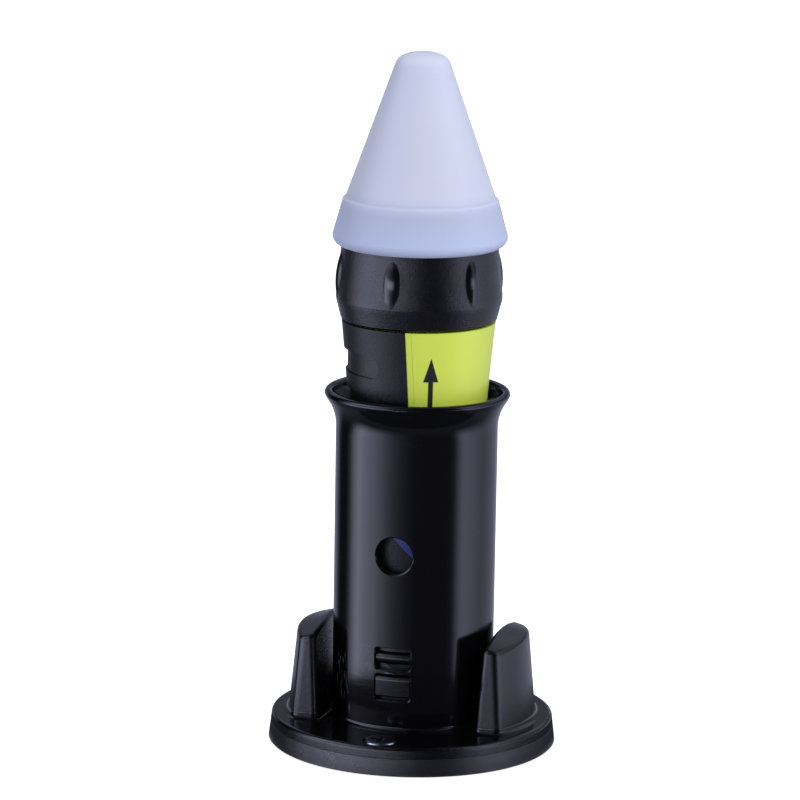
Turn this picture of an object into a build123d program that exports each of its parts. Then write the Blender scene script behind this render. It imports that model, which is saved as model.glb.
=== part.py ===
from build123d import *
from math import asin, cos, degrees, radians, sin
import os

# LED safety flare: a battery light with a push-on cone diffuser, standing in a weighted holder.
# Millimetres. Origin: centre of the underside. +Z up, the round hole and the front screw face -Y,
# the two posts stand at +X and -X. Angles round the axis are counted from -Y towards +X.

# --- driving dimensions -------------------------------------------------------------------------
base_radius = 48.3
cover_bottom = 0.4          # the rubber feet stand this far below the cover
parting_height = 6.3        # joint between the base cover and the base housing
deck_height = 10.0
base_draft = 1.1            # the side leans in this much over the height of the base
floor_thickness = 2.4
deck_edge = 1.2
parting_chamfer = 0.12
curb = 1.0                  # height of the curb round the tube's foot

tube_radius = 27.0
tube_wall = 2.5
tube_top = 120.5
flare_start = 108.0
lip_radius = 30.9
lip_thickness = 2.8
spy_hole_radius = 6.3
spy_hole_height = 69.2
window_width = 12.3
upper_window = (30.3, 37.9)
lower_window = (19.9, 28.9)

# a post's inner face, half length and outer radius, at the deck and at its top
post_foot = (27.3, 21.8, 41.6)
post_head = (29.1, 19.8, 38.7)
post_height = 40.8          # at the inner face, halfway along
post_slope = 0.244          # the top falls outwards
post_arch = 82.0            # radius of the arched top
post_corners = (1.9, 3.2)   # radii of the inner and the outer upright corners
post_rounding = 1.7
post_wall = 2.2

screw_circle = 39.8         # deck screws and magnets, front and rear
screw_stand = 0.5           # the screw heads stand this much above the deck
magnet_radius = 7.2
foot_circle = 40.5
cover_screw_circle = 41.0

tail_radius = 21.8
barrel_radius = 22.4
barrel_top_radius = 25.6
barrel_top = 143.9
grip_depth = 1.5
grip_start_angle = -174.0   # the grip runs half way round the upper barrel, from here
groove_centre_angle = -84.0
groove_half_span = 58.0     # to the centres of the groove's round ends
groove_height = 7.6
groove_depth = 1.0
groove_top = 131.0
groove_pitch = 13.0
groove_count = 5
panel_bottom = 84.0         # lower edge of the bright panel; the grip goes all round below it
panel_border = 2.1          # width of the step along the panel's upright edges
panel_step = 0.18
seam_lean = 0.046           # the panel's upright edges lean this much

cavity_radius = 19.0
neck_radius = 21.0
neck_top = 160.0
thread_pitch = 3.0
thread_turns = 2.75
thread_bottom = 149.0
thread_clearance = 0.3
thread_height = 0.9

cell_radius = 7.1
cell_length = 49.2
cell_nub = 1.0
carrier_radius = 18.4
plate = 2.0
cell_space = cell_length + cell_nub + 0.6
carrier_bottom = 20.0

bezel_bottom = 144.5
bezel_shoulder = 169.2      # the cone's edge rests here
bezel_top = 180.0
bezel_bore = neck_radius + thread_height + thread_clearance
spigot_radius = 25.0
ridge_count = 6
ridge_angle = -5.0

cone_wall = 1.7
cone_bottom_radius = 27.5
cone_lip_radius = 29.0
cone_step = 184.5
cone_tip_radius = 9.2
cone_shoulder = 229.0
cone_top = 233.0

touch = 0.15                # room between pieces that only meet


# --- planes -------------------------------------------------------------------------------------
def half_plane(angle):
    """The upright half plane at an angle: sketch x is the radius and sketch y is the height."""
    a = radians(angle)
    return Plane(origin=(0, 0, 0), x_dir=(sin(a), -cos(a), 0), z_dir=(-cos(a), -sin(a), 0))


def outward_plane(angle, radius=0.0, height=0.0):
    """The plane that faces outwards at an angle: sketch x runs round the axis and y upwards."""
    a = radians(angle)
    return Plane(
        origin=(radius * sin(a), -radius * cos(a), height),
        x_dir=(cos(a), sin(a), 0),
        z_dir=(sin(a), -cos(a), 0),
    )


def spot(angle, radius, height=0.0):
    """A point at an angle, radius and height."""
    a = radians(angle)
    return (radius * sin(a), -radius * cos(a), height)


def side_radius(height):
    """Radius of the base's side, which leans in as it rises."""
    return base_radius - base_draft * height / deck_height


def window_half_angle(radius):
    """Half the angle that a snap tongue covers, a little narrower than its window."""
    return degrees(asin((window_width / 2 - 0.35) / radius))


def rim_edges(part, low, high):
    """Edges of the openings in the tube's outside between two heights."""
    def on_outside(edge):
        points = (edge @ 0, edge @ 0.3, edge @ 0.7)
        return all(abs(p.X ** 2 + p.Y ** 2 - tube_radius ** 2) < 0.5 for p in points)
    return part.edges().filter_by(
        lambda e: low < e.center().Z < high and e.bounding_box().size.Y < 10 and on_outside(e)
    )


front_and_rear = (0, 180)
cover_screw_angles = (42, 138, 222, 318)
foot_angles = (70, 110, 250, 290)

os.makedirs("parts", exist_ok=True)

# === the stand ==================================================================================
# Base housing: deck, the two hollow posts, the curb round the tube and the snap collar inside it.
def post_section(level, inset, shorter, corners):
    """Outline of a post at +X at a height: a slice of a disc with rounded corners."""
    share = (level - deck_height) / (post_height - deck_height)
    inner, half, radius = (foot + (head - foot) * share for foot, head in zip(post_foot, post_head))
    with BuildSketch(Plane.XY.offset(level)) as section:
        Circle(radius - inset)
        with Locations((inner + inset, 0)):
            Rectangle(40, 2 * (half - shorter), align=(Align.MIN, Align.CENTER), mode=Mode.INTERSECT)
        fillet(section.vertices().sort_by(Axis.X)[2:], corners[1])
        fillet(section.vertices().sort_by(Axis.X)[:2], corners[0])
    return section.sketch


with BuildPart() as post:
    for level in (deck_height, post_height + 2):
        add(post_section(level, 0, 0, post_corners))
    loft(ruled=True)
    # the arched top
    ridge_line = Plane(origin=(post_foot[0] - 5, 0, post_height + post_slope * 6.8),
                       x_dir=(0, 1, 0), z_dir=(1, 0, -post_slope))
    with BuildSketch(ridge_line):
        with Locations((0, -post_arch)):
            Circle(post_arch)
    extrude(amount=40, mode=Mode.INTERSECT)
    fillet(post.faces().sort_by(Axis.Z)[-1].edges(), post_rounding)

with BuildPart() as post_hollow:
    for level in (parting_height - 1, post_height + 2):
        add(post_section(level, post_wall, 8, (0.8, 0.8)))
    loft(ruled=True)
    split(bisect_by=Plane(origin=(post_head[0], 0, post_height - 4.6), z_dir=(post_slope, 0, 1)),
          keep=Keep.BOTTOM)

with BuildPart() as base_housing:
    with BuildSketch(Plane.XZ):
        with BuildLine():
            Polyline(
                (0, parting_height), (side_radius(parting_height) - parting_chamfer, parting_height),
                (side_radius(parting_height), parting_height + parting_chamfer),
                (side_radius(deck_height), deck_height), (0, deck_height), close=True,
            )
        make_face()
    revolve(axis=Axis.Z)
    fillet(base_housing.edges().group_by(Axis.Z)[-1], deck_edge)
    add(post.part)
    add(post.part.rotate(Axis.Z, 180))
    feet = base_housing.edges().filter_by(
        lambda e: abs(e.center().Z - deck_height) < 0.01 and e.bounding_box().size.Z < 0.01
        and abs(e.center().X) > 20 and e.bounding_box().size.X < 40
    )
    fillet(feet, 2.0)
    with Locations((0, 0, deck_height)):
        Cylinder(tube_radius + touch, 60, align=(Align.CENTER, Align.CENTER, Align.MIN),
                 mode=Mode.SUBTRACT)
    # the low curb that the tube stands in
    with BuildSketch(Plane.XZ):
        with BuildLine():
            Line((tube_radius + touch, deck_height - 1), (tube_radius + touch, deck_height + curb))
            Line((tube_radius + touch, deck_height + curb), (tube_radius + 0.3, deck_height + curb))
            RadiusArc((tube_radius + 0.3, deck_height + curb), (tube_radius + 0.3 + curb, deck_height),
                      -curb)
            Line((tube_radius + 0.3 + curb, deck_height), (tube_radius + 0.3 + curb, deck_height - 1))
            Line((tube_radius + 0.3 + curb, deck_height - 1), (tube_radius + touch, deck_height - 1))
        make_face()
    revolve(axis=Axis.Z)
    # snap collar inside the tube's foot
    collar_radius = tube_radius - tube_wall - touch
    with BuildSketch(Plane.XZ):
        with BuildLine():
            Polyline(
                (collar_radius - 1.5, deck_height - 1), (collar_radius, deck_height - 1),
                (collar_radius, 39.4), (collar_radius - 0.6, 40), (collar_radius - 1.5, 40), close=True,
            )
        make_face()
    revolve(axis=Axis.Z)
    # the tongues that snap into the tube's windows: a block below and a round bar above
    bar_middle = sum(upper_window) / 2
    tongue_face = tube_radius - 0.5
    tongue_round = 2.0
    for angle in front_and_rear:
        half = window_half_angle(tongue_face)
        with BuildSketch(half_plane(angle - half)):
            with BuildLine():
                Polyline(
                    (collar_radius - 1, lower_window[0] + 1.0),
                    (tongue_face - 0.6, lower_window[0] + 1.0), (tongue_face, lower_window[0] + 1.6),
                    (tongue_face, lower_window[1] - 0.3 - tongue_round),
                )
                RadiusArc((tongue_face, lower_window[1] - 0.3 - tongue_round),
                          (tongue_face - tongue_round, lower_window[1] - 0.3), -tongue_round)
                Polyline(
                    (tongue_face - tongue_round, lower_window[1] - 0.3),
                    (collar_radius - 1, lower_window[1] - 0.3),
                    (collar_radius - 1, lower_window[0] + 1.0),
                )
            make_face()
            with Locations((collar_radius - 0.1, bar_middle)):
                Circle(2.1)
        revolve(axis=Axis.Z, revolution_arc=2 * half)
    with Locations((0, 0, deck_height)):
        Cylinder(collar_radius - 1.5, 40, align=(Align.CENTER, Align.CENTER, Align.MIN),
                 mode=Mode.SUBTRACT)
    # relief slots beside each tongue
    for angle in front_and_rear:
        for side in (-1, 1):
            with BuildSketch(outward_plane(angle)):
                with Locations((side * (window_width / 2 + 0.6), 30)):
                    Rectangle(1.0, 20.5)
            extrude(amount=collar_radius + 1, mode=Mode.SUBTRACT)
    # the hollow in each post, open to the underside
    add(post_hollow.part, mode=Mode.SUBTRACT)
    add(post_hollow.part.rotate(Axis.Z, 180), mode=Mode.SUBTRACT)
    for angle in front_and_rear:
        with Locations(spot(angle, screw_circle, deck_height)):
            Cylinder(6.0, 1.0, align=(Align.CENTER, Align.CENTER, Align.MAX), mode=Mode.SUBTRACT)
            Hole(2.7)
    for angle in cover_screw_angles:
        with Locations(spot(angle, cover_screw_circle, parting_height)):
            Cylinder(1.45, 2.4, align=(Align.CENTER, Align.CENTER, Align.MIN), mode=Mode.SUBTRACT)
base_housing.part.label = "base_housing"
export_step(base_housing.part, "parts/base_housing.step")

# Base cover: a shallow pan under the housing, with bosses for the screws, magnets and feet.
with BuildPart() as base_cover:
    with BuildSketch(Plane.XZ):
        with BuildLine():
            Polyline(
                (0, cover_bottom), (base_radius - 0.5, cover_bottom), (base_radius, cover_bottom + 0.5),
                (side_radius(parting_height), parting_height - parting_chamfer),
                (side_radius(parting_height) - parting_chamfer, parting_height),
                (base_radius - 3.2, parting_height), (base_radius - 3.2, cover_bottom + floor_thickness),
                (0, cover_bottom + floor_thickness), close=True,
            )
        make_face()
    revolve(axis=Axis.Z)
    boss_foot = (0, 0, cover_bottom + 1)
    with Locations(*[spot(a, screw_circle - 0.6, boss_foot[2]) for a in front_and_rear]):
        Cylinder(magnet_radius + 1.6, parting_height - boss_foot[2],
                 align=(Align.CENTER, Align.CENTER, Align.MIN))
    with Locations(*[spot(a, cover_screw_circle, boss_foot[2]) for a in cover_screw_angles]):
        Cylinder(4.4, parting_height - boss_foot[2], align=(Align.CENTER, Align.CENTER, Align.MIN))
    with Locations(boss_foot):
        Cylinder(26, parting_height - boss_foot[2], align=(Align.CENTER, Align.CENTER, Align.MIN))
        Cylinder(23.5, parting_height, align=(Align.CENTER, Align.CENTER, Align.MIN),
                 mode=Mode.SUBTRACT)
        Cylinder(25, floor_thickness - 1, align=(Align.CENTER, Align.CENTER, Align.MIN))
    for angle in front_and_rear:
        with Locations(spot(angle, screw_circle, cover_bottom)):
            Cylinder(magnet_radius + touch, 4.2, align=(Align.CENTER, Align.CENTER, Align.MIN),
                     mode=Mode.SUBTRACT)
            Hole(2.7)
    for angle in cover_screw_angles:
        with Locations(spot(angle, cover_screw_circle, cover_bottom)):
            Cylinder(3.1, 2.6, align=(Align.CENTER, Align.CENTER, Align.MIN), mode=Mode.SUBTRACT)
            Hole(1.65)
    for angle in foot_angles:
        with Locations(spot(angle, foot_circle, cover_bottom)):
            Cylinder(5.1, 1.0, align=(Align.CENTER, Align.CENTER, Align.MIN), mode=Mode.SUBTRACT)
    # keep the bosses inside the drafted side
    with BuildSketch(Plane.XZ):
        with BuildLine():
            Polyline(
                (0, 0), (base_radius, 0), (base_radius, cover_bottom + 0.5),
                (side_radius(parting_height), parting_height - parting_chamfer),
                (side_radius(parting_height) - parting_chamfer, parting_height),
                (0, parting_height), close=True,
            )
        make_face()
    revolve(axis=Axis.Z, mode=Mode.INTERSECT)
base_cover.part.label = "base_cover"
export_step(base_cover.part, "parts/base_cover.step")

# Holder tube: straight, flared at the top, with the spy hole and the two pairs of snap windows.
with BuildPart() as holder_tube:
    inner = tube_radius - tube_wall
    lip_inner = lip_radius - lip_thickness
    with BuildSketch(Plane.XZ):
        with BuildLine():
            Line((inner, deck_height), (tube_radius, deck_height))
            Line((tube_radius, deck_height), (tube_radius, flare_start))
            outer_flare = TangentArc(
                (tube_radius, flare_start), (lip_radius - 0.7, tube_top - 3.0), tangent=(0, 1))
            Line(outer_flare @ 1, (lip_radius, tube_top - 1.6))
            ThreePointArc((lip_radius, tube_top - 1.6), (lip_radius - 1.3, tube_top),
                          (lip_inner, tube_top - 1.4))
            Line((lip_inner, tube_top - 1.4), (lip_inner - 0.2, tube_top - 2.4))
            TangentArc((inner, flare_start), (lip_inner - 0.2, tube_top - 2.4), tangent=(0, 1))
            Line((inner, flare_start), (inner, deck_height))
        make_face()
    revolve(axis=Axis.Z)
    with BuildSketch(outward_plane(0)):
        with Locations((0, spy_hole_height)):
            Circle(spy_hole_radius)
    extrude(amount=tube_radius + 5, mode=Mode.SUBTRACT)
    for low, high in (upper_window, lower_window):
        with BuildSketch(Plane.XZ):
            with Locations((0, (low + high) / 2)):
                RectangleRounded(window_width, high - low, 1.1)
        extrude(amount=tube_radius + 5, both=True, mode=Mode.SUBTRACT)
        chamfer(rim_edges(holder_tube, low - 1, high + 1), 0.25)
    chamfer(rim_edges(holder_tube, spy_hole_height - 7, spy_hole_height + 7), 0.4)
holder_tube.part.label = "holder_tube"
export_step(holder_tube.part, "parts/holder_tube.step")

# Magnets in steel cups under the base, each held by a deck screw.
cup_bottom = cover_bottom
with BuildPart() as magnet_cups:
    for angle in front_and_rear:
        with BuildPart(mode=Mode.PRIVATE) as cup:
            with Locations(spot(angle, screw_circle, cup_bottom)):
                Cylinder(magnet_radius, 4.2, align=(Align.CENTER, Align.CENTER, Align.MIN))
                Cylinder(magnet_radius - 1.0, 3.0, align=(Align.CENTER, Align.CENTER, Align.MIN),
                         mode=Mode.SUBTRACT)
                Hole(2.25)
        add(cup.part)
magnet_cups.part.label = "magnet_cups"
export_step(magnet_cups.part, "parts/magnet_cups.step")

with BuildPart() as base_magnets:
    for angle in front_and_rear:
        with BuildPart(mode=Mode.PRIVATE) as magnet:
            with Locations(spot(angle, screw_circle, cup_bottom)):
                Cylinder(magnet_radius - 1.0, 3.0, align=(Align.CENTER, Align.CENTER, Align.MIN))
                Hole(2.6)
        add(magnet.part)
base_magnets.part.label = "base_magnets"
export_step(base_magnets.part, "parts/base_magnets.step")

# Deck screws: shallow pan heads with a cross recess.
with BuildPart() as deck_screws:
    for angle in front_and_rear:
        with BuildPart(mode=Mode.PRIVATE) as screw:
            with Locations(spot(angle, screw_circle, deck_height - 1.0)):
                Cylinder(5.6, 1.0 + screw_stand, align=(Align.CENTER, Align.CENTER, Align.MIN))
                fillet(screw.edges().group_by(Axis.Z)[-1], 0.9)
                Cylinder(2.25, deck_height - 1.0 - cup_bottom - 1.0,
                         align=(Align.CENTER, Align.CENTER, Align.MAX))
            with Locations(spot(angle, screw_circle, deck_height + screw_stand)):
                Box(7.0, 1.4, 1.6, mode=Mode.SUBTRACT)
                Box(1.4, 7.0, 1.6, mode=Mode.SUBTRACT)
        add(screw.part)
deck_screws.part.label = "deck_screws"
export_step(deck_screws.part, "parts/deck_screws.step")

with BuildPart() as cover_screws:
    for angle in cover_screw_angles:
        with BuildPart(mode=Mode.PRIVATE) as screw:
            with Locations(spot(angle, cover_screw_circle, cover_bottom + 0.6)):
                Cylinder(2.9, 2.0, align=(Align.CENTER, Align.CENTER, Align.MIN))
                Box(3.4, 0.8, 2.0, mode=Mode.SUBTRACT)
                Box(0.8, 3.4, 2.0, mode=Mode.SUBTRACT)
                Cylinder(1.45, parting_height + 2.2 - cover_bottom - 0.6,
                         align=(Align.CENTER, Align.CENTER, Align.MIN))
        add(screw.part)
cover_screws.part.label = "cover_screws"
export_step(cover_screws.part, "parts/cover_screws.step")

with BuildPart() as foot_pads:
    for angle in foot_angles:
        with Locations(spot(angle, foot_circle, 0)):
            Cylinder(5.0, cover_bottom + 1.0, align=(Align.CENTER, Align.CENTER, Align.MIN))
foot_pads.part.label = "foot_pads"
export_step(foot_pads.part, "parts/foot_pads.step")

# === the light's barrel =========================================================================
# The outside outline, from the tail up to the seam under the bezel.
outline = [
    (tail_radius, deck_height + 2.2), (barrel_radius, deck_height + 12), (barrel_radius, 98),
    (22.9, 113), (24.0, 127), (24.9, 137), (barrel_top_radius, barrel_top),
]

# The plane between the grip and the bright panel, which lies on its upper side.
seam_side = radians(grip_start_angle + 180)
seam = Plane(origin=(0, 0, 133.3), x_dir=(sin(seam_side), -cos(seam_side), 0),
             z_dir=(cos(seam_side), sin(seam_side), seam_lean))


def barrel_surface(height):
    """Outside radius of the barrel at a height, from the outline."""
    for (r0, z0), (r1, z1) in zip(outline, outline[1:]):
        if z0 <= height <= z1:
            return r0 + (r1 - r0) * (height - z0) / (z1 - z0)
    return barrel_radius


# Index mark: a slender arrow let into the bright panel, pointing at the bezel.
with BuildPart() as index_mark:
    mark_top, mark_bottom, mark_angle = 135.5, 112.0, 25.0
    with BuildSketch(half_plane(mark_angle - 20)):
        levels = (mark_bottom - 1, 113, 127, mark_top + 1)
        skin = [(barrel_surface(z), z) for z in levels]
        Polygon(*[(r - 0.3, z) for r, z in skin], *[(r + 0.06, z) for r, z in reversed(skin)],
                align=None)
    revolve(axis=Axis.Z, revolution_arc=40)
    with BuildSketch(outward_plane(mark_angle)):
        Polygon((-0.8, mark_bottom), (0.8, mark_bottom), (0.8, mark_top - 8), (2.5, mark_top - 8),
                (0, mark_top), (-2.5, mark_top - 8), (-0.8, mark_top - 8), align=None)
    extrude(amount=40, mode=Mode.INTERSECT)
index_mark.part.label = "index_mark"
export_step(index_mark.part, "parts/index_mark.step")

# Barrel shell: the rigid tube that carries everything; its skin shows in the bright panel.
with BuildPart() as barrel_shell:
    core = [(r - grip_depth, z) for r, z in outline]
    with BuildSketch(Plane.XZ):
        with BuildLine():
            Polyline(
                (0, deck_height), (tail_radius - 3.5, deck_height),
                (tail_radius - grip_depth, deck_height + 2.0), *core,
                (neck_radius, barrel_top), (neck_radius, neck_top - 0.8),
                (neck_radius - 0.8, neck_top), (0, neck_top), close=True,
            )
        make_face()
    revolve(axis=Axis.Z)
    panel = [(r, z) for r, z in outline if z > panel_bottom]
    with BuildPart(mode=Mode.PRIVATE) as panel_skin:
        with BuildSketch(Plane.XZ):
            with BuildLine():
                Polyline(
                    (neck_radius - 1.0, panel_bottom), (barrel_radius, panel_bottom), *panel,
                    (neck_radius - 1.0, barrel_top), close=True,
                )
            make_face()
        revolve(axis=Axis.Z)
        split(bisect_by=seam, keep=Keep.TOP)
    add(panel_skin.part)
    # a shallow step down along each upright edge of the panel
    with BuildPart(mode=Mode.PRIVATE) as border_cut:
        with BuildSketch(Plane.XZ):
            Polygon(*[(r - panel_step, z) for r, z in panel], *[(r + 1, z) for r, z in reversed(panel)],
                    align=None)
        revolve(axis=Axis.Z)
        with BuildSketch(seam):
            Rectangle(80, 80)
        extrude(amount=panel_border, both=True, mode=Mode.INTERSECT)
        with Locations((0, 0, panel_bottom)):
            Cylinder(40, 14, align=(Align.CENTER, Align.CENTER, Align.MIN), mode=Mode.SUBTRACT)
    add(border_cut.part, mode=Mode.SUBTRACT)
    add(index_mark.part, mode=Mode.SUBTRACT)
    # the battery bore, closed at the tail
    with Locations((0, 0, deck_height + 2.5)):
        Cylinder(cavity_radius, neck_top, align=(Align.CENTER, Align.CENTER, Align.MIN),
                 mode=Mode.SUBTRACT)
    # groove for the neck seal
    with BuildSketch(Plane.XZ):
        with Locations((neck_radius, 146.6)):
            Rectangle(2.0, 2.2)
    revolve(axis=Axis.Z, mode=Mode.SUBTRACT)
    # one ridge of thread on the neck
    with BuildLine():
        neck_helix = Helix(thread_pitch, thread_pitch * thread_turns, neck_radius,
                           center=(0, 0, thread_bottom))
    with BuildSketch(Plane(neck_helix @ 0, x_dir=(1, 0, 0), z_dir=neck_helix % 0)):
        Polygon((-0.3, -0.75), (thread_height, -0.35), (thread_height, 0.35), (-0.3, 0.75), align=None)
    sweep(path=neck_helix, is_frenet=True)
barrel_shell.part.label = "barrel_shell"
export_step(barrel_shell.part, "parts/barrel_shell.step")

# Grip sleeve: rubber moulded over the shell, all round the lower barrel and half round the top.
with BuildPart() as grip_sleeve:
    lower = [(r, z) for r, z in outline if z < panel_bottom]
    with BuildSketch(Plane.XZ):
        with BuildLine():
            Polyline(
                (tail_radius - grip_depth, deck_height + 2.2), *lower, (barrel_radius, panel_bottom),
                (barrel_radius - grip_depth, panel_bottom),
                *[(r - grip_depth, z) for r, z in reversed(lower[1:])], close=True,
            )
        make_face()
    revolve(axis=Axis.Z)
    with BuildPart(mode=Mode.PRIVATE) as upper_grip:
        with BuildSketch(Plane.XZ):
            with BuildLine():
                Polyline(
                    (barrel_radius, panel_bottom), *panel,
                    *[(r - grip_depth, z) for r, z in reversed(panel)],
                    (barrel_radius - grip_depth, panel_bottom), close=True,
                )
            make_face()
        revolve(axis=Axis.Z)
        split(bisect_by=seam, keep=Keep.BOTTOM)
    add(upper_grip.part)
    # finger grooves with round ends
    for row in range(groove_count):
        height = groove_top - row * groove_pitch
        radius = barrel_surface(height)
        with BuildSketch(half_plane(groove_centre_angle - groove_half_span)):
            with Locations((radius - groove_depth + 4, height)):
                Rectangle(8, groove_height)
        revolve(axis=Axis.Z, revolution_arc=2 * groove_half_span, mode=Mode.SUBTRACT)
        for side in (-1, 1):
            end = groove_centre_angle + side * groove_half_span
            with BuildSketch(outward_plane(end, radius - groove_depth, height)):
                Circle(groove_height / 2)
            extrude(amount=8, mode=Mode.SUBTRACT)
grip_sleeve.part.label = "grip_sleeve"
export_step(grip_sleeve.part, "parts/grip_sleeve.step")

# Panel label: a thin tilted label on the lower grip, seen through the spy hole.
with BuildPart() as panel_label:
    with BuildSketch(half_plane(-10)):
        with Locations((barrel_radius + 0.07, 79)):
            Rectangle(0.12, 40)
    revolve(axis=Axis.Z, revolution_arc=60)
    with BuildSketch(outward_plane(0)):
        Polygon((-2.6, 75.5), (6.6, 66.3), (18.6, 78.3), (9.4, 87.5), align=None)
    extrude(amount=40, mode=Mode.INTERSECT)
panel_label.part.label = "panel_label"
export_step(panel_label.part, "parts/panel_label.step")

# Neck seal in its groove.
with BuildPart() as neck_o_ring:
    with BuildSketch(Plane.XZ):
        with Locations((neck_radius - 0.1, 146.6)):
            Circle(0.9)
    revolve(axis=Axis.Z)
neck_o_ring.part.label = "neck_o_ring"
export_step(neck_o_ring.part, "parts/neck_o_ring.step")

# --- battery pack -------------------------------------------------------------------------------
cavity_floor = deck_height + 2.5
divider_bottom = carrier_bottom + plate + cell_space
carrier_top_face = divider_bottom + plate + cell_space + plate
cell_offset = cell_radius + 0.15
cell_angles = (45, 135, 225, 315)
cell_floors = (carrier_bottom + plate + 0.3, divider_bottom + plate + 0.3)

# Battery carrier: three plates on a centre rod and four rails.
with BuildPart() as battery_carrier:
    for floor in (carrier_bottom, divider_bottom, carrier_top_face - plate):
        with BuildSketch(Plane.XY.offset(floor)):
            Circle(carrier_radius)
        extrude(amount=plate)
    with BuildSketch(Plane.XY.offset(carrier_bottom)):
        Circle(2.4)
        with PolarLocations(carrier_radius - 1.7, 4):
            Rectangle(2.6, 5.2)
    extrude(amount=carrier_top_face - carrier_bottom)
battery_carrier.part.label = "battery_carrier"
export_step(battery_carrier.part, "parts/battery_carrier.step")

# Eight cells, four in each layer, every second one the other way up.
with BuildPart() as battery_cells:
    for floor in cell_floors:
        for angle in cell_angles:
            with Locations(spot(angle, cell_offset * 2 ** 0.5, floor)):
                Cylinder(cell_radius, cell_length, align=(Align.CENTER, Align.CENTER, Align.MIN))
            with Locations(spot(angle, cell_offset * 2 ** 0.5, floor + cell_length)):
                Cylinder(2.7, cell_nub, align=(Align.CENTER, Align.CENTER, Align.MIN))
battery_cells.part.label = "battery_cells"
export_step(battery_cells.part, "parts/battery_cells.step")

# Contact strips: thin plates that join neighbouring cells under and over each layer.
with BuildPart() as cell_contacts:
    for floor in cell_floors:
        for level in (floor - 0.3, floor + cell_space - 0.6):
            for side in (-1, 1):
                with Locations((side * cell_offset, 0, level)):
                    Box(9, 24, 0.3, align=(Align.CENTER, Align.CENTER, Align.MIN))
cell_contacts.part.label = "cell_contacts"
export_step(cell_contacts.part, "parts/cell_contacts.step")

# Terminal: the button on top of the carrier that feeds the light engine.
with BuildPart() as carrier_terminal:
    with Locations((0, 0, carrier_top_face)):
        Cylinder(6, 0.5, align=(Align.CENTER, Align.CENTER, Align.MIN))
        Cylinder(3, 1.6, align=(Align.CENTER, Align.CENTER, Align.MIN))
carrier_terminal.part.label = "carrier_terminal"
export_step(carrier_terminal.part, "parts/carrier_terminal.step")

# Tail spring: pushes the carrier up against the light engine.
with BuildPart() as tail_spring:
    spring_wire = 0.55
    spring_turns = 3
    spring_rise = carrier_bottom - cavity_floor - 2 * spring_wire - 0.1
    with BuildLine():
        coil = Helix(spring_rise / spring_turns, spring_rise, 8.0,
                     center=(0, 0, cavity_floor + spring_wire + 0.05))
    with BuildSketch(Plane(coil @ 0, z_dir=coil % 0)):
        Circle(spring_wire)
    sweep(path=coil, is_frenet=True)
tail_spring.part.label = "tail_spring"
export_step(tail_spring.part, "parts/tail_spring.step")

# === the light engine, carried up and down by the bezel =========================================
engine_radius = cavity_radius - 0.35
flange_bottom = neck_top + 0.3
board_seat = flange_bottom + 2.0
reflector_top = 173.8
lens_bottom = 174.0
lens_top = 176.6
gasket_top = lens_top + 1.0

with BuildPart() as engine_housing:
    with BuildSketch(Plane.XZ):
        Polygon(
            (engine_radius, 146), (engine_radius, flange_bottom), (bezel_bore - 0.4, flange_bottom),
            (bezel_bore - 0.4, board_seat), (0, board_seat), (0, flange_bottom),
            (engine_radius - 1.8, flange_bottom), (engine_radius - 1.8, 146), align=None,
        )
    revolve(axis=Axis.Z)
    # cooling fins inside the cup
    with BuildSketch(Plane.XY.offset(152)):
        with PolarLocations(11.5, 12):
            Rectangle(11, 1.2)
    extrude(amount=flange_bottom - 152 + 0.5)
engine_housing.part.label = "engine_housing"
export_step(engine_housing.part, "parts/engine_housing.step")

with BuildPart() as driver_board:
    with BuildSketch(Plane.XY.offset(147.5)):
        Circle(engine_radius - 1.9)
    extrude(amount=1.6)
driver_board.part.label = "driver_board"
export_step(driver_board.part, "parts/driver_board.step")

with BuildPart() as driver_parts:
    for x, y, length, width, height in (
        (-6, -5, 6, 6, 1.8), (5, -6, 5, 4, 1.4), (6, 4, 4, 5, 1.8), (-5, 6, 5, 3, 1.2),
    ):
        with Locations((x, y, 149.1)):
            Box(length, width, height, align=(Align.CENTER, Align.CENTER, Align.MIN))
driver_parts.part.label = "driver_parts"
export_step(driver_parts.part, "parts/driver_parts.step")

# Contact pin: a spring plunger under the driver board, just above the carrier's terminal.
with BuildPart() as contact_pin:
    with Locations((0, 0, 147.5)):
        Cylinder(3.2, 6.0, align=(Align.CENTER, Align.CENTER, Align.MAX))
        Cylinder(2.0, 147.5 - carrier_top_face - 1.6 - touch,
                 align=(Align.CENTER, Align.CENTER, Align.MAX))
contact_pin.part.label = "contact_pin"
export_step(contact_pin.part, "parts/contact_pin.step")

with BuildPart() as led_board:
    with BuildSketch(Plane.XY.offset(board_seat)):
        Circle(9)
    extrude(amount=1.6)
led_board.part.label = "led_board"
export_step(led_board.part, "parts/led_board.step")

with BuildPart() as led_emitter:
    with Locations((0, 0, board_seat + 1.6)):
        Box(5.4, 5.4, 0.9, align=(Align.CENTER, Align.CENTER, Align.MIN))
    with Locations((0, 0, board_seat + 2.5)):
        Sphere(2.2, arc_size1=0, align=(Align.CENTER, Align.CENTER, Align.MIN))
led_emitter.part.label = "led_emitter"
export_step(led_emitter.part, "parts/led_emitter.step")

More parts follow.
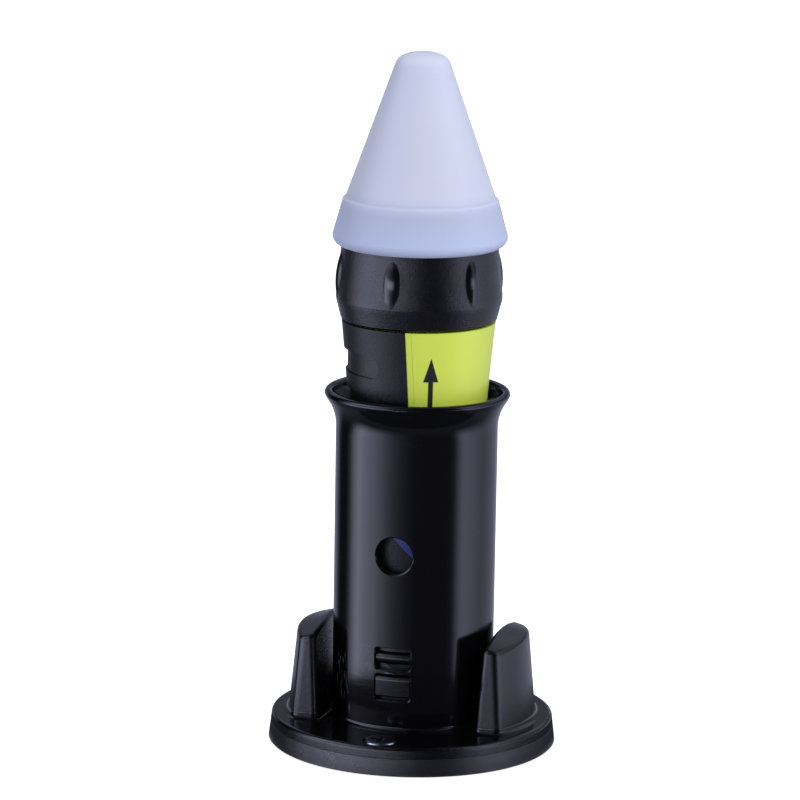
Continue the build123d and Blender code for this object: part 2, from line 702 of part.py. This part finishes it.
# Reflector: a bowl of revolution with a flat rim under the lens.
with BuildPart() as reflector:
    rim_radius = bezel_bore - 0.5
    with BuildSketch(Plane.XZ):
        with BuildLine():
            throat = board_seat + 1.7
            inside = Spline((4.0, throat), (11.0, throat + 2.6), (18.6, reflector_top),
                            tangents=[(1, 0.05), (0.55, 1)])
            Line(inside @ 1, (rim_radius, reflector_top))
            Line((rim_radius, reflector_top), (rim_radius, reflector_top - 1.2))
            Line((rim_radius, reflector_top - 1.2), (19.4, reflector_top - 1.2))
            Spline((19.4, reflector_top - 1.2), (11.6, throat + 1.4), (9.2, throat),
                   tangents=[(-0.5, -1), (-1, -0.2)])
            Line((9.2, throat), (4.0, throat))
        make_face()
    revolve(axis=Axis.Z)
reflector.part.label = "reflector"
export_step(reflector.part, "parts/reflector.step")

with BuildPart() as lens:
    with BuildSketch(Plane.XY.offset(lens_bottom)):
        Circle(bezel_bore - 0.5)
    extrude(amount=lens_top - lens_bottom)
lens.part.label = "lens"
export_step(lens.part, "parts/lens.step")

with BuildPart() as lens_gasket:
    with BuildSketch(Plane.XY.offset(lens_top)):
        Circle(bezel_bore - 0.5)
        Circle(bezel_bore - 2.2, mode=Mode.SUBTRACT)
    extrude(amount=gasket_top - lens_top)
lens_gasket.part.label = "lens_gasket"
export_step(lens_gasket.part, "parts/lens_gasket.step")

# === bezel: the turning ring that screws on the neck and switches the light =====================
with BuildPart() as bezel:
    with BuildSketch(Plane.XZ):
        with BuildLine():
            Polyline(
                (10, bezel_bottom), (25.5, bezel_bottom), (26.0, bezel_bottom + 0.5),
                (27.35, bezel_bottom + 5.8), (27.6, bezel_bottom + 7.0), (27.6, bezel_bottom + 8.6),
                (26.1, bezel_shoulder - 1.4),
                (25.9, bezel_shoulder), (spigot_radius, bezel_shoulder),
                (spigot_radius, bezel_top - 1.0), (spigot_radius - 1.0, bezel_top), (10, bezel_top),
                close=True,
            )
        make_face()
    revolve(axis=Axis.Z)
    # lens-shaped ridges: slices of spindles that stand upright inside the wall
    ridge_middle, ridge_half, spindle_radius, spindle_axis = 159.4, 7.9, 4.3, 23.7
    for step in range(ridge_count):
        upright = outward_plane(ridge_angle + step * 360 / ridge_count, spindle_axis, ridge_middle)
        tilted = Plane(upright.origin, x_dir=upright.z_dir.rotate(Axis((0, 0, 0), upright.x_dir), -5.5),
                       z_dir=upright.x_dir)
        with BuildPart(mode=Mode.PRIVATE) as spindle:
            with BuildSketch(tilted):
                with BuildLine():
                    ThreePointArc((spindle_radius - 1.15, ridge_half), (spindle_radius, 0),
                                  (spindle_radius - 1.15, -ridge_half))
                    Polyline((spindle_radius - 1.15, -ridge_half), (0, -ridge_half),
                             (0, ridge_half), (spindle_radius - 1.15, ridge_half))
                make_face()
            revolve(axis=Axis(tilted.origin, tilted.y_dir))
        add(spindle.part)
    # bore, lens seat and mouth
    with Locations((0, 0, bezel_bottom)):
        Cylinder(bezel_bore, gasket_top + 0.05 - bezel_bottom,
                 align=(Align.CENTER, Align.CENTER, Align.MIN), mode=Mode.SUBTRACT)
        Cylinder(bezel_bore - 2.2, 60, align=(Align.CENTER, Align.CENTER, Align.MIN),
                 mode=Mode.SUBTRACT)
    # the thread's ridge, half a pitch above the neck's
    with BuildLine():
        bezel_helix = Helix(thread_pitch, thread_pitch * thread_turns, bezel_bore,
                            center=(0, 0, thread_bottom + thread_pitch / 2))
    with BuildSketch(Plane(bezel_helix @ 0, x_dir=(1, 0, 0), z_dir=bezel_helix % 0)):
        Polygon((0.3, -0.75), (-thread_height, -0.35), (-thread_height, 0.35), (0.3, 0.75), align=None)
    sweep(path=bezel_helix, is_frenet=True)
bezel.part.label = "bezel"
export_step(bezel.part, "parts/bezel.step")

# === cone diffuser: a translucent cap pushed over the bezel's spigot ============================
with BuildPart() as cone_diffuser:
    skirt_bore = spigot_radius + 0.3
    step_radius = 25.7
    upper_radius = step_radius - 0.9
    slope = (upper_radius - cone_tip_radius) / (cone_shoulder - cone_step - 0.6)
    with BuildSketch(Plane.XZ):
        with BuildLine():
            Line((skirt_bore, bezel_shoulder), (cone_bottom_radius - 0.5, bezel_shoulder))
            ThreePointArc((cone_bottom_radius - 0.5, bezel_shoulder),
                          (cone_lip_radius - 0.6, bezel_shoulder + 1.2),
                          (cone_lip_radius, bezel_shoulder + 3.2))
            Line((cone_lip_radius, bezel_shoulder + 3.2), (step_radius, cone_step))
            Line((step_radius, cone_step), (upper_radius, cone_step + 0.6))
            Line((upper_radius, cone_step + 0.6), (cone_tip_radius, cone_shoulder))
            Spline((cone_tip_radius, cone_shoulder), (cone_tip_radius - 1.8, cone_top - 1.5),
                   (cone_tip_radius - 4.8, cone_top - 0.3), (0, cone_top),
                   tangents=[(-slope, 1), (-1, 0)])
            Line((0, cone_top), (0, cone_top - cone_wall))
            Line((0, cone_top - cone_wall), (cone_tip_radius - 3.4, cone_top - cone_wall - 0.4))
            Line((cone_tip_radius - 3.4, cone_top - cone_wall - 0.4),
                 (cone_tip_radius - cone_wall, cone_shoulder - 1.2))
            Line((cone_tip_radius - cone_wall, cone_shoulder - 1.2),
                 (cone_tip_radius - cone_wall + slope * (cone_shoulder - 1.2 - cone_step), cone_step))
            Line((cone_tip_radius - cone_wall + slope * (cone_shoulder - 1.2 - cone_step), cone_step),
                 (skirt_bore, cone_step - 3.5))
            Line((skirt_bore, cone_step - 3.5), (skirt_bore, bezel_shoulder))
        make_face()
    revolve(axis=Axis.Z)
cone_diffuser.part.label = "cone_diffuser"
export_step(cone_diffuser.part, "parts/cone_diffuser.step")
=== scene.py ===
import math

import bpy
from mathutils import Matrix, Vector


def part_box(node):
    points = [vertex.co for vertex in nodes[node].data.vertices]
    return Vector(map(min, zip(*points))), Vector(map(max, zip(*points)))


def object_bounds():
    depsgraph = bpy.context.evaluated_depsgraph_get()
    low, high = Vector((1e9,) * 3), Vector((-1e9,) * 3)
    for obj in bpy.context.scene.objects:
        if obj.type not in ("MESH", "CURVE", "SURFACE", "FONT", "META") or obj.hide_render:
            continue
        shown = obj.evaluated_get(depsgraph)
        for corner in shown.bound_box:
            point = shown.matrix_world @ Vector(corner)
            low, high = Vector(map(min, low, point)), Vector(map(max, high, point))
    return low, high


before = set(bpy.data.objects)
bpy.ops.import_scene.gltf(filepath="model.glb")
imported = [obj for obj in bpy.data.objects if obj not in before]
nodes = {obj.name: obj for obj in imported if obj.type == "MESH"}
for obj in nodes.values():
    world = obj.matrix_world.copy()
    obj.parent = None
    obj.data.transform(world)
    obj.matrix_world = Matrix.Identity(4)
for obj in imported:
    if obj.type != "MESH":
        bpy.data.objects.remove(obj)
cad_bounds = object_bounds()


# --- material helpers ---------------------------------------------------------------------------
class Shader:
    """A node material built around one Principled shader, with short calls for the usual nodes."""

    def __init__(self, name, **sockets):
        self.material = bpy.data.materials.new(name)
        self.material.use_nodes = True
        self.tree = self.material.node_tree
        self.principled = self.tree.nodes["Principled BSDF"]
        for socket, value in sockets.items():
            self.principled.inputs[socket.replace("_", " ")].default_value = value
        self.place = self.node("ShaderNodeTexCoord").outputs["Object"]

    def node(self, kind, inputs=None, **settings):
        made = self.tree.nodes.new(kind)
        for key, value in settings.items():
            setattr(made, key, value)
        for key, value in (inputs or {}).items():
            if isinstance(value, bpy.types.NodeSocket):
                self.tree.links.new(value, made.inputs[key])
            else:
                made.inputs[key].default_value = value
        return made

    def link(self, output, socket):
        self.tree.links.new(output, self.principled.inputs[socket])

    def stretch(self, scale):
        """The place coordinates, scaled along each axis."""
        return self.node("ShaderNodeMapping", {"Vector": self.place, "Scale": scale}).outputs["Vector"]

    def noise(self, scale, detail=3.0, roughness=0.5, vector=None, distortion=0.0):
        """Fractal noise; scale is in waves per metre."""
        return self.node("ShaderNodeTexNoise", {
            "Vector": vector or self.place, "Scale": scale, "Detail": detail,
            "Roughness": roughness, "Distortion": distortion}).outputs["Fac"]

    def cells(self, scale):
        """Rounded cells, by the distance from their centres."""
        return self.node("ShaderNodeTexVoronoi", {"Vector": self.place, "Scale": scale},
                         feature="SMOOTH_F1").outputs["Distance"]

    def remap(self, value, low, high, to_low=0.0, to_high=1.0, smooth=False):
        kind = "SMOOTHSTEP" if smooth else "LINEAR"
        return self.node("ShaderNodeMapRange", {
            "Value": value, "From Min": low, "From Max": high, "To Min": to_low, "To Max": to_high},
            interpolation_type=kind).outputs["Result"]

    def radius(self):
        """Distance from the object's axis."""
        return self.node("ShaderNodeVectorMath", {0: self.stretch((1, 1, 0))},
                         operation="LENGTH").outputs["Value"]

    def height(self):
        """Height above the surface that the object stands on, at rest."""
        return self.node("ShaderNodeSeparateXYZ", {"Vector": self.place}).outputs["Z"]

    def math(self, operation, a, b=0.0):
        return self.node("ShaderNodeMath", {0: a, 1: b}, operation=operation).outputs[0]

    def mix(self, factor, a, b):
        """Colour a where the factor is 0 and colour b where it is 1."""
        made = self.node("ShaderNodeMix", data_type="RGBA")
        for socket, value in ((made.inputs[0], factor), (made.inputs[6], a), (made.inputs[7], b)):
            if isinstance(value, bpy.types.NodeSocket):
                self.tree.links.new(value, socket)
            else:
                socket.default_value = value
        return made.outputs[2]

    def bump(self, height, distance, strength=1.0, before=None):
        """A bump of that height in metres, laid on the bump made before."""
        made = self.node("ShaderNodeBump", {"Height": height, "Distance": distance,
                                            "Strength": strength})
        if before is not None:
            self.tree.links.new(before, made.inputs["Normal"])
        self.link(made.outputs["Normal"], "Normal")
        return made.outputs["Normal"]


def rgb(red, green, blue):
    return (red, green, blue, 1.0)


front_azimuth = 14.8        # degrees from -Y towards +X: where the camera and the studio's front are


# --- camera -------------------------------------------------------------------------------------
def set_camera():
    """A long lens a little to the right of the front and a little above, rolled slightly."""
    distance, height = 1.40, 0.412
    azimuth, pitch, yaw, roll = (math.radians(a) for a in (front_azimuth, -11.92, 0.236, 0.95))
    camera = bpy.data.objects.new("camera", bpy.data.cameras.new("camera"))
    camera.data.lens = 193.6
    camera.data.clip_start = 0.05
    bpy.context.scene.collection.objects.link(camera)
    place = Vector((distance * math.sin(azimuth), -distance * math.cos(azimuth), height))
    turn = (Matrix.Rotation(azimuth + yaw, 4, "Z") @ Matrix.Rotation(math.pi / 2 + pitch, 4, "X")
            @ Matrix.Rotation(roll, 4, "Z"))
    camera.matrix_world = Matrix.Translation(place) @ turn
    bpy.context.scene.camera = camera


# --- studio -------------------------------------------------------------------------------------
panel_tint = (0.89, 0.91, 1.22)
fill_tint = (0.89, 0.94, 1.10)
fill_strength = 0.60

# Brightness of the studio's walls, by the angle from the front towards the right-hand side. Two soft
# panels stand at the sides, the left one brighter, and the wall in front of the object is dark.
wall_brightness = [
    (-180, 0.45), (-150, 0.35), (-136, 0.03), (-116, 0.03), (-108, 0.3), (-99, 1.5), (-88, 2.9),
    (-78, 2.4), (-60, 1.8), (-48, 1.15), (-36, 0.62), (-24, 0.32), (-12, 0.15), (2, 0.07),
    (46, 0.06), (56, 0.14), (64, 1.0), (71, 1.65), (80, 1.5), (92, 1.1), (110, 0.6), (150, 0.45),
    (180, 0.45),
]
brightest = 3.0             # above every level in the list

# The share of that brightness by height, which is the sine of the angle above the horizon.
table_height, walls_foot = -0.62, -0.38
wall_heights = [
    (-1, 0.0), (table_height, 0.0), (walls_foot, 1.0), (0.05, 1.0), (0.12, 0.35), (0.32, 0.35),
    (0.42, 1.0), (0.6, 1.0), (0.9, 0.2), (1, 0.2),
]
table_glow = 0.14           # what reflections see of the table close below

# A low strip light at the horizon, which only the leaning faces see, by angle and by height.
strip_brightness = 2.4
strip_angles = [
    (-180, 0), (-76, 0), (-60, 0.9), (-30, 1), (-16, 0.7), (-4, 0.1), (4, 0), (36, 0), (50, 0.6),
    (62, 0.8), (76, 0), (180, 0),
]
strip_heights = [(-1, 0), (-0.11, 0), (-0.07, 1), (0.08, 1), (0.12, 0), (1, 0)]


def from_front(angle):
    """The level direction at an angle from the studio's front, towards the right-hand side."""
    a = math.radians(front_azimuth + angle)
    return Vector((math.sin(a), -math.cos(a), 0))


def world_math(tree, operation, *values):
    """A math node of the world, whose inputs are outputs of other nodes or plain numbers."""
    made = tree.nodes.new("ShaderNodeMath")
    made.operation = operation
    for index, value in enumerate(values):
        if isinstance(value, bpy.types.NodeSocket):
            tree.links.new(value, made.inputs[index])
        else:
            made.inputs[index].default_value = value
    return made.outputs[0]


def brightness_ramp(tree, value, reach, stops):
    """A ramp over values from -reach to reach; each stop has a value and a level from 0 to 1."""
    fraction = tree.nodes.new("ShaderNodeMapRange")
    fraction.inputs["From Min"].default_value = -reach
    fraction.inputs["From Max"].default_value = reach
    tree.links.new(value, fraction.inputs["Value"])
    ramp = tree.nodes.new("ShaderNodeValToRGB")
    elements = ramp.color_ramp.elements
    for index, (place, level) in enumerate(stops):
        stop = elements[index] if index < len(elements) else elements.new(1.0)
        stop.position = (place / reach + 1) / 2
        stop.color = (level, level, level, 1.0)
    tree.links.new(fraction.outputs["Result"], ramp.inputs["Fac"])
    return ramp.outputs["Color"]


def make_walls():
    """The world: soft side panels as the object sees them, and plain white as the camera sees it."""
    world = bpy.data.worlds.new("studio")
    bpy.context.scene.world = world
    world.use_nodes = True
    tree = world.node_tree
    walls = tree.nodes["Background"]
    coordinates = tree.nodes.new("ShaderNodeTexCoord")
    turn = tree.nodes.new("ShaderNodeVectorRotate")
    turn.rotation_type = "Z_AXIS"
    turn.inputs["Angle"].default_value = math.radians(-front_azimuth)
    tree.links.new(coordinates.outputs["Generated"], turn.inputs["Vector"])
    split = tree.nodes.new("ShaderNodeSeparateXYZ")
    tree.links.new(turn.outputs["Vector"], split.inputs["Vector"])
    towards = world_math(tree, "MULTIPLY", split.outputs["Y"], -1.0)
    angle = world_math(tree, "DEGREES", world_math(tree, "ARCTAN2", split.outputs["X"], towards))
    height = split.outputs["Z"]
    panel_levels = [(degrees, level / brightest) for degrees, level in wall_brightness]
    panels = world_math(tree, "MULTIPLY", brightness_ramp(tree, angle, 180, panel_levels),
                        brightness_ramp(tree, height, 1, wall_heights))
    table = tree.nodes.new("ShaderNodeMapRange")
    for socket, value in (("From Min", table_height), ("From Max", walls_foot), ("To Min", table_glow),
                          ("To Max", 0)):
        table.inputs[socket].default_value = value
    tree.links.new(height, table.inputs["Value"])
    strip = world_math(tree, "MULTIPLY", brightness_ramp(tree, angle, 180, strip_angles),
                       brightness_ramp(tree, height, 1, strip_heights))
    level = world_math(tree, "MULTIPLY_ADD", panels, brightest, table.outputs["Result"])
    level = world_math(tree, "MULTIPLY_ADD", strip, strip_brightness, level)
    walls.inputs["Color"].default_value = rgb(*panel_tint)
    tree.links.new(level, walls.inputs["Strength"])
    # matt surfaces see an even bluish fill instead, and the camera sees white
    seen = tree.nodes.new("ShaderNodeLightPath")
    below = walls.outputs["Background"]
    for ray, tint, strength in (("Is Diffuse Ray", fill_tint, fill_strength),
                                ("Is Camera Ray", (1.0, 1.0, 1.0), 1.0)):
        even = tree.nodes.new("ShaderNodeBackground")
        even.inputs["Color"].default_value = rgb(*tint)
        even.inputs["Strength"].default_value = strength
        either = tree.nodes.new("ShaderNodeMixShader")
        tree.links.new(seen.outputs[ray], either.inputs["Fac"])
        tree.links.new(below, either.inputs[1])
        tree.links.new(even.outputs["Background"], either.inputs[2])
        below = either.outputs["Shader"]
    tree.links.new(below, tree.nodes["World Output"].inputs["Surface"])
    world.cycles.sampling_method = "NONE"


def lamp(name, angle, elevation, distance, size, power):
    """A soft light that fills matt surfaces and leaves the gloss to the walls."""
    light = bpy.data.lights.new(name, "AREA")
    light.shape = "DISK"
    light.size = size
    light.energy = power
    made = bpy.data.objects.new(name, light)
    bpy.context.scene.collection.objects.link(made)
    e = math.radians(elevation)
    reach = math.cos(e) * from_front(angle) + Vector((0, 0, math.sin(e)))
    made.location = Vector((0, 0, 0.12)) + distance * reach
    made.rotation_euler = (-reach).to_track_quat("-Z", "Z").to_euler()
    made.visible_glossy = False


def make_dark_card():
    """A dark ring round the base that only reflections see, as on a black table top."""
    inner_radius, outer_radius, ahead, glow, steps = 0.05, 0.112, 0.02, 0.05, 96
    lift = Vector((0, 0, cad_bounds[0][2] + 0.0003))
    ways = [from_front(360 * step / steps) for step in range(steps + 1)]
    inner = [lift + inner_radius * way for way in ways]
    outer = [lift + ahead * from_front(0) + outer_radius * way for way in ways]
    count = len(ways)
    faces = [(i, i + 1, count + i + 1, count + i) for i in range(steps)]
    mesh = bpy.data.meshes.new("dark_card")
    mesh.from_pydata(inner + outer, [], faces)
    card = bpy.data.objects.new("dark_card", mesh)
    bpy.context.scene.collection.objects.link(card)
    card.visible_camera = card.visible_diffuse = card.visible_shadow = False
    card.visible_transmission = False
    surface = Shader("dark_card", Base_Color=rgb(0.002, 0.002, 0.002), Roughness=1.0,
                     Specular_IOR_Level=0.0, Emission_Color=rgb(*panel_tint), Emission_Strength=glow)
    mesh.materials.append(surface.material)


def make_studio():
    bpy.context.scene.view_settings.view_transform = "Standard"
    make_walls()
    bpy.ops.mesh.primitive_plane_add(size=12, location=(0, 0, cad_bounds[0][2]))
    floor = bpy.context.object
    floor.name = "floor"
    floor.visible_glossy = floor.visible_diffuse = False
    paper = Shader("floor_paper", Base_Color=rgb(0.92, 0.92, 0.92), Roughness=0.9,
                   Emission_Color=rgb(1, 1, 1), Emission_Strength=0.8)
    floor.data.materials.append(paper.material)
    make_dark_card()
    lamp("overhead", 0, 88, 1.6, 1.4, 5)
    lamp("key", 40, 30, 1.6, 0.7, 9)


# --- materials ----------------------------------------------------------------------------------
millimetre = 0.001


def scratches(s, along, across, slant, angles, heights):
    """Short rub marks on the tube between two angles and two heights in mm."""
    (first, last), (low, high) = angles, heights
    tube_radius = 0.027
    split = s.node("ShaderNodeSeparateXYZ", {"Vector": s.place})
    turn = s.math("ARCTAN2", split.outputs["X"], s.math("MULTIPLY", split.outputs["Y"], -1.0))
    round_way = s.math("MULTIPLY", turn, tube_radius)
    flat = s.node("ShaderNodeCombineXYZ", {"X": round_way, "Y": split.outputs["Z"]}).outputs["Vector"]
    turned = s.node("ShaderNodeVectorRotate", {"Vector": flat, "Angle": math.radians(slant)},
                    rotation_type="Z_AXIS").outputs["Vector"]
    sized = s.node("ShaderNodeMapping", {"Vector": turned, "Scale": (across, along, 1)}).outputs["Vector"]
    marks = s.remap(s.noise(1.0, 4, 0.65, vector=sized, distortion=0.4), 0.57, 0.66)
    a0, a1, margin = math.radians(first), math.radians(last), math.radians(4)
    inside = s.math("MULTIPLY", s.remap(turn, a0 - margin, a0 + margin, smooth=True),
                    s.remap(turn, a1 + margin, a1 - margin, smooth=True))
    edge = 2 * millimetre
    z0, z1 = low * millimetre, high * millimetre
    level = s.math("MULTIPLY", s.remap(split.outputs["Z"], z0 - edge, z0 + edge, smooth=True),
                   s.remap(split.outputs["Z"], z1 + edge, z1 - edge, smooth=True))
    return s.math("MULTIPLY", marks, s.math("MULTIPLY", inside, level))


def holder_black():
    """Gloss black of the tube, with fine rub marks near its snap windows."""
    s = Shader("holder_gloss_black")
    near = scratches(s, along=260, across=1500, slant=24, angles=(-27, -13), heights=(28, 39))
    far = scratches(s, along=170, across=1700, slant=-8, angles=(-56, -38), heights=(18, 33))
    worn = s.math("MAXIMUM", near, s.math("MULTIPLY", far, 0.6))
    s.link(s.mix(worn, rgb(0.0016, 0.0016, 0.0022), rgb(0.13, 0.14, 0.16)), "Base Color")
    # the mould leaves very fine rings round the tube
    rings = s.noise(1.0, 3, 0.6, vector=s.stretch((60, 60, 2600)))
    dull = s.math("ADD", s.remap(rings, 0.3, 0.7, 0.09, 0.15), s.math("MULTIPLY", worn, 0.4))
    s.link(dull, "Roughness")
    normal = s.bump(rings, 0.0012 * millimetre, before=s.bump(s.noise(70, 2), 0.008 * millimetre))
    s.bump(s.noise(1900, 2), 0.002 * millimetre, before=normal)
    return s.material


def housing_black():
    """The deck is as glossy as the tube; the posts, the side and the snap tongues are satin."""
    s = Shader("housing_black", Base_Color=rgb(0.0016, 0.0016, 0.0022), Specular_IOR_Level=0.6)
    gloss, satin_roughness = 0.09, 0.23
    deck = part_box("deck_screws")[1][2] - 0.5 * millimetre
    height, radius = s.height(), s.radius()
    above = s.remap(height, deck + 0.0004, deck + 0.0022)
    below = s.remap(height, deck - 0.0004, deck - 0.0016)
    outside_tube = s.remap(radius, 0.0279, 0.0285)
    tongue = s.remap(radius, 0.0268, 0.0264)
    posts_and_side = s.math("MULTIPLY", s.math("MAXIMUM", above, below), outside_tube)
    satin = s.math("MAXIMUM", posts_and_side, tongue)
    blotches = s.remap(s.noise(60, 4, 0.6), 0.3, 0.7, -0.03, 0.03)
    s.link(s.math("ADD", s.remap(satin, 0, 1, gloss, satin_roughness), blotches), "Roughness")
    grain = s.math("MULTIPLY", s.noise(2600, 2, 0.6), satin)
    s.bump(grain, 0.06 * millimetre, before=s.bump(s.noise(70, 2), 0.01 * millimetre))
    return s.material


def cover_black():
    """Satin black with a spark texture."""
    s = Shader("cover_satin_black", Base_Color=rgb(0.002, 0.002, 0.0026), Roughness=0.3,
               Specular_IOR_Level=1.3)
    s.link(s.remap(s.noise(55, 4, 0.6), 0.3, 0.7, 0.26, 0.34), "Roughness")
    wave = s.bump(s.noise(70, 2), 0.012 * millimetre)
    s.bump(s.noise(2500, 2, 0.6), 0.1 * millimetre, before=wave)
    return s.material


def bezel_black():
    """Spark texture on the turning ring, and smooth gloss on its ridges."""
    s = Shader("bezel_satin_black", Base_Color=rgb(0.002, 0.002, 0.0028), Specular_IOR_Level=0.6)
    gloss, satin_roughness = 0.13, 0.27
    # the ring narrows upwards from its widest height, and the ridges stand proud of it
    widest_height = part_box("bezel")[0][2] + 8.6 * millimetre
    lean = 0.102
    narrowing = s.math("MULTIPLY", s.math("SUBTRACT", s.height(), widest_height), lean)
    ridge = s.remap(s.math("ADD", s.radius(), narrowing), 0.02768, 0.02782)
    texture = s.remap(ridge, 0.0, 1.0, 1.0, 0.0)
    blotches = s.remap(s.noise(60, 4, 0.6), 0.3, 0.7, -0.03, 0.03)
    s.link(s.math("ADD", s.remap(ridge, 0.0, 1.0, satin_roughness, gloss), blotches), "Roughness")
    grain = s.math("MULTIPLY", s.noise(1900, 2, 0.6), texture)
    s.bump(grain, 0.12 * millimetre, before=s.bump(s.noise(70, 2), 0.01 * millimetre))
    return s.material


def grip_rubber():
    """Rubber with a leather grain: small rounded cells between worn creases."""
    s = Shader("grip_rubber", Base_Color=rgb(0.003, 0.003, 0.0042), Roughness=0.42,
               Specular_IOR_Level=0.4)
    pebbles = s.remap(s.cells(2300), 0.0, 0.75, 1.0, 0.0)
    normal = s.bump(s.noise(2100, 3, 0.65, distortion=0.6), 0.05 * millimetre)
    s.bump(pebbles, 0.03 * millimetre, before=normal)
    s.link(s.remap(s.noise(1500, 3, 0.6), 0.3, 0.7, 0.36, 0.48), "Roughness")
    return s.material


def barrel_yellow():
    """Bright yellow-green nylon, slightly translucent, with faint colour drift."""
    s = Shader("barrel_yellow", Roughness=0.34, Subsurface_Weight=0.12, Subsurface_Scale=0.002,
               Subsurface_Radius=(1.0, 0.9, 0.2))
    drift = s.noise(45, 3)
    bright = s.mix(drift, rgb(0.73, 0.86, 0.09), rgb(0.77, 0.89, 0.12))
    # the tail, below the grip, is black
    under_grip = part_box("barrel_shell")[0][2] + 60 * millimetre
    tail = s.remap(s.height(), under_grip - 0.001, under_grip, 1.0, 0.0)
    s.link(s.mix(tail, bright, rgb(0.004, 0.004, 0.005)), "Base Color")
    s.link(s.remap(s.noise(120, 4), 0.3, 0.7, 0.3, 0.4), "Roughness")
    s.bump(s.noise(2200, 2), 0.006 * millimetre, before=s.bump(s.noise(60, 2), 0.02 * millimetre))
    return s.material


def cone_white():
    """Frosted translucent white with a faint lavender tint, and a painted shade on its skirt."""
    s = Shader("cone_frosted", Roughness=0.42, Subsurface_Weight=0.65, Subsurface_Scale=0.006,
               Subsurface_Radius=(0.8, 0.9, 1.0))
    clouded = s.mix(s.noise(28, 3), rgb(0.69, 0.725, 0.95), rgb(0.74, 0.775, 0.99))
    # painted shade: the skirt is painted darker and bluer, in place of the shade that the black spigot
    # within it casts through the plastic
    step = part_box("cone_diffuser")[0][2] + 15.3 * millimetre
    painted_skirt_shade = s.remap(s.height(), step - 0.003, step + 0.004, 1.0, 0.0, smooth=True)
    # the painted shade is mixed into the base colour over the skirt
    s.link(s.mix(painted_skirt_shade, clouded, rgb(0.565, 0.62, 0.85)), "Base Color")
    s.link(s.remap(s.noise(150, 3), 0.3, 0.7, 0.38, 0.48), "Roughness")
    s.bump(s.noise(1600, 3), 0.012 * millimetre, before=s.bump(s.noise(40, 2), 0.03 * millimetre))
    return s.material


def metal(name, colour, roughness, brushed=(1, 1, 1), depth=0.006):
    """Bare or plated metal with fine tool lines along its short direction."""
    s = Shader(name, Base_Color=rgb(*colour), Roughness=roughness, Metallic=1.0)
    lines = s.noise(900, 4, 0.7, vector=s.stretch(brushed))
    s.link(s.remap(lines, 0.2, 0.8, roughness * 0.7, roughness * 1.3), "Roughness")
    s.bump(lines, depth * millimetre)
    return s.material


def plain(name, colour, roughness, speck=0.12, depth=0.01):
    """A small inner part: a little colour variation and a fine surface."""
    s = Shader(name, Roughness=roughness)
    dark = tuple(c * (1 - speck) for c in colour)
    s.link(s.mix(s.noise(700, 3), rgb(*dark), rgb(*colour)), "Base Color")
    s.bump(s.noise(1500, 2), depth * millimetre)
    return s.material


def cell_sleeve():
    """Printed battery sleeve: grey with broad bands."""
    s = Shader("cell_sleeve", Roughness=0.3)
    band = s.math("GREATER_THAN", s.math("SINE", s.math("MULTIPLY", s.height(), 62.0)), 0.5)
    s.link(s.mix(band, rgb(0.16, 0.17, 0.19), rgb(0.55, 0.33, 0.08)), "Base Color")
    s.bump(s.noise(500, 2), 0.01 * millimetre)
    return s.material


def lens_clear():
    """Clear polished plastic."""
    s = Shader("lens_clear", Base_Color=rgb(0.96, 0.98, 1.0), Roughness=0.03, IOR=1.49,
               Transmission_Weight=1.0)
    s.bump(s.noise(60, 2), 0.002 * millimetre)
    return s.material


def led_yellow():
    """Phosphor of the LED."""
    s = Shader("led_phosphor", Roughness=0.25, Subsurface_Weight=0.3, Subsurface_Scale=0.001)
    s.link(s.mix(s.noise(900, 2), rgb(0.85, 0.68, 0.12), rgb(0.92, 0.80, 0.22)), "Base Color")
    return s.material


def dress(material, *names):
    """Puts a material in every slot of some CAD nodes."""
    for name in names:
        mesh = nodes[name].data
        if not mesh.materials:
            mesh.materials.append(material)
        for slot in range(len(mesh.materials)):
            mesh.materials[slot] = material


def dress_everything():
    dress(holder_black(), "holder_tube")
    dress(housing_black(), "base_housing")
    dress(cover_black(), "base_cover")
    dress(bezel_black(), "bezel")
    dress(grip_rubber(), "grip_sleeve")
    dress(barrel_yellow(), "barrel_shell")
    dress(cone_white(), "cone_diffuser")
    dress(plain("mark_ink", (0.02, 0.02, 0.02), 0.5), "index_mark")
    dress(plain("label_blue", (0.05, 0.06, 0.30), 0.3), "panel_label")
    dress(plain("foot_rubber", (0.02, 0.02, 0.02), 0.7, depth=0.04), "foot_pads")
    dress(plain("seal_rubber", (0.015, 0.015, 0.02), 0.45), "neck_o_ring", "lens_gasket")
    dress(plain("carrier_plastic", (0.02, 0.02, 0.022), 0.4), "battery_carrier")
    dress(plain("chip_black", (0.03, 0.03, 0.03), 0.45), "driver_parts")
    dress(plain("board_green", (0.02, 0.12, 0.045), 0.3), "driver_board")
    dress(plain("board_white", (0.8, 0.8, 0.78), 0.35), "led_board")
    dress(cell_sleeve(), "battery_cells")
    dress(metal("screw_bright", (0.36, 0.42, 0.46), 0.07, depth=0.02), "deck_screws")
    dress(metal("zinc_plate", (0.68, 0.7, 0.72), 0.32), "magnet_cups", "cover_screws")
    dress(metal("nickel_plate", (0.7, 0.68, 0.64), 0.25), "base_magnets", "cell_contacts")
    dress(metal("brass", (0.78, 0.58, 0.26), 0.28), "carrier_terminal", "contact_pin")
    dress(metal("spring_steel", (0.6, 0.6, 0.61), 0.22), "tail_spring")
    dress(metal("engine_aluminium", (0.74, 0.75, 0.76), 0.3, (1, 1, 6)), "engine_housing")
    dress(metal("reflector_chrome", (0.92, 0.93, 0.95), 0.04, depth=0.001), "reflector")
    dress(lens_clear(), "lens")
    dress(led_yellow(), "led_emitter")


set_camera()
make_studio()
dress_everything()
